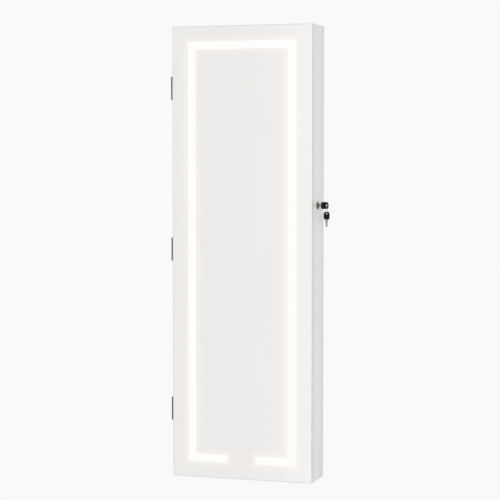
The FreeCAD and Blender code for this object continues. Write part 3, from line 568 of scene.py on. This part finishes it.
def mirror_face():
    """Silvered glass with a painted reflection: polished green-grey edges, a ground rim, and a frosted band
    with a warm halo.
    """
    finish = finish_named("mirror_face")
    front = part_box("mirror_glass")[0].y
    edge = finish.rise(finish.axis("Y"), front + CUT_START, front + CUT_WHOLE)
    away = band_distance(finish)
    band = finish.rise(away, BAND_EDGE, -BAND_EDGE) * (1 - edge)
    halo = (1 - away.over(0) / GLOW_REACH).over(0) ** GLOW_FALL * (1 - edge)
    wipe = finish.grain(0.012, 3.0, (1, 1, 6))
    cut = finish.blend(finish.grain(0.004, 2.0), srgb(196, 206, 201), srgb(214, 222, 217))
    plain = finish.blend(edge, painted_reflection_silver(finish), cut)
    glow = finish.blend(band, srgb(92, 61, 34), srgb(247, 248, 246))
    lit = finish.blend(band.over(halo), (0, 0, 0, 1), glow)
    frost = finish.grain(0.0005, 2.0)
    return finish.surface({
        "Base Color": finish.blend(band, plain, srgb(40, 40, 40)),
        "Metallic": (1 - band) * (1 - edge),
        "Roughness": 0.012 + 0.01 * wipe + 0.55 * band + 0.2 * edge,
        "Normal": finish.relief(frost * band, 0.00002),
        "Emission Color": lit,
        "Emission Strength": 1.0,
    })


FINISHES = (
    white_lacquer, back_board, rail_wood, lining_velvet, cushion_velvet, clear_acrylic, hook_metal,
    hinge_metal, screw_metal, lock_metal, key_metal, ring_wire, bow_plastic, catch_plastic, magnet_metal,
    mirror_face, strip_white, chip_yellow, lead_cover, bumper_rubber, box_plastic, cell_jacket,
    contact_metal,
)
OWN_FINISHES = {"lock_plug": plug_metal, "door_board": door_lacquer}


def dress_nodes():
    """Gives every node of the frame the finish of its material slot, and a few nodes one of their own."""
    made = {finish.__name__: finish() for finish in FINISHES}
    for row in frame["record"]["subparts"]:
        for slot in frame["nodes"][row["node"]].material_slots:
            slot.material = made[row["material_slot"]]
    for node, finish in OWN_FINISHES.items():
        for slot in frame["nodes"][node].material_slots:
            slot.material = finish()
    return made


def as_object(name, mesh):
    """A finished mesh as an object with smooth faces."""
    data = bpy.data.meshes.new(name)
    mesh.to_mesh(data)
    mesh.free()
    for face in data.polygons:
        face.use_smooth = True
    made = bpy.data.objects.new(name, data)
    bpy.context.scene.collection.objects.link(made)
    return made


# Ring cushions


def sleeve_section(angle, depth, height):
    """A point of the section of a roll: round in front and square behind, seen from its middle."""
    across = math.cos(angle)
    up = math.sin(angle)
    power = ROLL_ROUND if across > 0 else ROLL_SQUARE
    reach = height / 2 if across > 0 else depth - height / 2
    y = -reach * math.copysign(abs(across) ** (2 / power), across)
    z = height / 2 * math.copysign(abs(up) ** (2 / power), up)
    return y, z


def sleeve_fullness(end):
    """How wide a sleeve is at a distance from its end, where it is folded in and sewn shut."""
    if end >= ROLL_END:
        return 1.0
    closed = 1 - end / ROLL_END
    return ROLL_FOLD + (1 - ROLL_FOLD) * math.sqrt(1 - closed * closed)


def sleeve_ring(mesh, x, end, size, seed):
    """One ring of a sleeve's vertices, with folds that run in from the end."""
    full = sleeve_fullness(end) * SLEEVE_SLIM
    gather = math.exp(-end / ROLL_END)
    ring = []
    for turn in range(SLEEVE_AROUND):
        angle = 2 * math.pi * turn / SLEEVE_AROUND
        y, z = sleeve_section(angle, size.y, size.z)
        outward = Vector((0, y, z)).normalized()
        folds = noise.noise(Vector((seed, math.cos(angle) * FOLDS, math.sin(angle) * FOLDS)))
        slack = noise.noise(Vector((x * SLACK_ALONG, y * SLACK_ROUND, z * SLACK_ROUND + seed)))
        stand = FOLD_DEPTH * gather * folds + SLACK_DEPTH * slack
        ring.append(mesh.verts.new(Vector((x, y, z)) * full + outward * stand))
        ring[-1].co.x = x
    return ring


def make_sleeve(size, seed):
    """The velvet sleeve of a roll, centred on the roll's round front, before it is stuffed."""
    mesh = bmesh.new()
    rings = []
    for step in range(SLEEVE_ALONG + 1):
        x = -math.cos(math.pi * step / SLEEVE_ALONG) * size.x / 2
        rings.append(sleeve_ring(mesh, x, size.x / 2 - abs(x), size, seed))
    for first, second in zip(rings, rings[1:]):
        for turn in range(SLEEVE_AROUND):
            other = (turn + 1) % SLEEVE_AROUND
            mesh.faces.new((first[turn], first[other], second[other], second[turn]))
    mesh.faces.new(list(reversed(rings[0])))
    mesh.faces.new(rings[-1])
    bmesh.ops.recalc_face_normals(mesh, faces=mesh.faces)
    mesh.verts.index_update()
    sewn = [vert.index for ring in (rings[0], rings[-1]) for vert in ring]
    sleeve = as_object("sleeve", mesh)
    sleeve.vertex_groups.new(name="sewn").add(sewn, 1.0, "REPLACE")
    return sleeve


def stuff(sleeve, size):
    """Presses foam into a sleeve: its fabric is blown up from inside, but stays within its room."""
    cloth = sleeve.modifiers.new("fabric", "CLOTH").settings
    cloth.vertex_group_mass = "sewn"
    cloth.use_pressure = True
    cloth.uniform_pressure_force = FOAM_PRESSURE
    cloth.shrink_min = -FABRIC_SLACK
    cloth.effector_weights.gravity = 0
    for step in range(1, STUFFING_FRAMES + 1):
        bpy.context.scene.frame_set(step)
    filled = sleeve.evaluated_get(bpy.context.evaluated_depsgraph_get()).data
    back = size.y - size.z / 2
    for vert, after in zip(sleeve.data.vertices, filled.vertices):
        move = after.co - vert.co
        move *= min(1.0, FABRIC_CAP / max(move.length, 1e-9))
        vert.co += move
        vert.co.y = min(max(vert.co.y, -size.z / 2), back)
        vert.co.z = min(max(vert.co.z, -size.z / 2), size.z / 2)
    sleeve.modifiers.clear()
    bpy.context.scene.frame_set(1)


def lay_roll(name, sleeve, middle, turned, finish):
    """A roll made from a sleeve, with its round front about a middle, and turned end for end or not."""
    roll = bpy.data.objects.new(name, sleeve.data.copy())
    bpy.context.scene.collection.objects.link(roll)
    side = -1 if turned else 1
    for vert in roll.data.vertices:
        vert.co = middle + Vector((side * vert.co.x, vert.co.y, side * vert.co.z))
    roll.data.materials.append(finish)
    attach(roll, "cabinet")
    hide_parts("ring_cushions")


def ring_rolls(finish):
    """The rolls in the ring tray, pressed side by side, so that rings stand in the slits."""
    low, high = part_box("ring_cushions")
    count = round((high.z - low.z + CUSHION_GAP) / CUSHION_PITCH)
    size = Vector((high.x - low.x, high.y - low.y, CUSHION_PITCH - ROLL_SLACK))
    sleeves = []
    for seed in range(SLEEVE_KINDS):
        sleeves.append(make_sleeve(size, seed))
        stuff(sleeves[-1], size)
    middle = Vector(((low.x + high.x) / 2, low.y + size.z / 2, low.z + (CUSHION_PITCH - CUSHION_GAP) / 2))
    for index in range(count):
        turned = index // SLEEVE_KINDS % 2 == 1
        lay_roll("ring_roll_%02d" % (index + 1), sleeves[index % SLEEVE_KINDS], middle, turned, finish)
        middle.z += CUSHION_PITCH
    for sleeve in sleeves:
        bpy.data.objects.remove(sleeve)


# Studio


def seen_ray(finish):
    """1 for what the camera sees, straight, in gloss or through glass, and 0 for light on surfaces."""
    path = finish.node("ShaderNodeLightPath", output="Is Camera Ray")
    return path.over(path.out("Is Glossy Ray")).over(path.out("Is Transmission Ray"))


def studio_world():
    """A soft white surround that the camera, metal and glass see as the backdrop's colour."""
    world = bpy.data.worlds.new("studio")
    bpy.context.scene.world = world
    finish = Finish(world)
    seen = seen_ray(finish)
    dome = finish.node("ShaderNodeBackground", {}, {"Color": srgb(*DOME), "Strength": DOME_STRENGTH})
    backdrop = finish.node("ShaderNodeBackground", {}, {"Color": srgb(*BACKDROP), "Strength": 1.0})
    mixed = finish.node("ShaderNodeMixShader", {}, {0: seen, 1: dome, 2: backdrop})
    finish.node("ShaderNodeOutputWorld", {}, {"Surface": mixed}, None)


def pale_floor():
    """A round pale floor below the cabinet, almost the backdrop's colour, that keeps a faint shadow."""
    finish = finish_named("pale_floor")
    plain = finish.node("ShaderNodeEmission", {}, {"Color": srgb(*BACKDROP), "Strength": 1.0})
    matt = finish.node("ShaderNodeBsdfDiffuse", {}, {"Color": srgb(*BACKDROP)})
    x = finish.axis("X")
    y = finish.axis("Y")
    away = (x * x + y * y) ** 0.5 / FLOOR_RADIUS
    glow = FLOOR_GLOW + (1 - FLOOR_GLOW) * finish.rise(away, *FLOOR_FADE)
    mixed = finish.node("ShaderNodeMixShader", {}, {0: seen_ray(finish) * glow, 1: matt, 2: plain})
    finish.node("ShaderNodeOutputMaterial", {}, {"Surface": mixed}, None)
    mesh = bmesh.new()
    bmesh.ops.create_circle(mesh, cap_ends=True, segments=FLOOR_SIDES, radius=FLOOR_RADIUS)
    floor = as_object("floor", mesh)
    floor.location.z = cad_bounds[0].z - FLOOR_DROP
    floor.data.materials.append(finish.owner)


def softbox(name, place, size, watts):
    """A square lamp that faces the middle of the cabinet. Gloss shows the backdrop in its place."""
    lamp = bpy.data.lights.new(name, "AREA")
    lamp.shape = "SQUARE"
    lamp.size = size
    lamp.energy = watts
    made = bpy.data.objects.new(name, lamp)
    made.location = place
    made.rotation_euler = (-Vector(place)).to_track_quat("-Z", "Y").to_euler()
    made.visible_glossy = False
    bpy.context.scene.collection.objects.link(made)


def lights():
    softbox("key_softbox", KEY_PLACE, KEY_SIZE, KEY_POWER)
    softbox("fill_softbox", FILL_PLACE, FILL_SIZE, FILL_POWER)


def camera():
    lens = bpy.data.cameras.new("camera")
    lens.sensor_width = SENSOR
    lens.lens = FOCAL_PIXELS / PICTURE * SENSOR
    made = bpy.data.objects.new("camera", lens)
    made.location = CAMERA_PLACE
    made.rotation_euler = (math.radians(90 - CAMERA_DIP), 0, math.radians(CAMERA_TURN))
    bpy.context.scene.collection.objects.link(made)
    bpy.context.scene.camera = made


finishes = dress_nodes()
ring_rolls(finishes["cushion_velvet"])
studio_world()
pale_floor()
lights()
camera()
bpy.context.scene.view_settings.view_transform = "Standard"
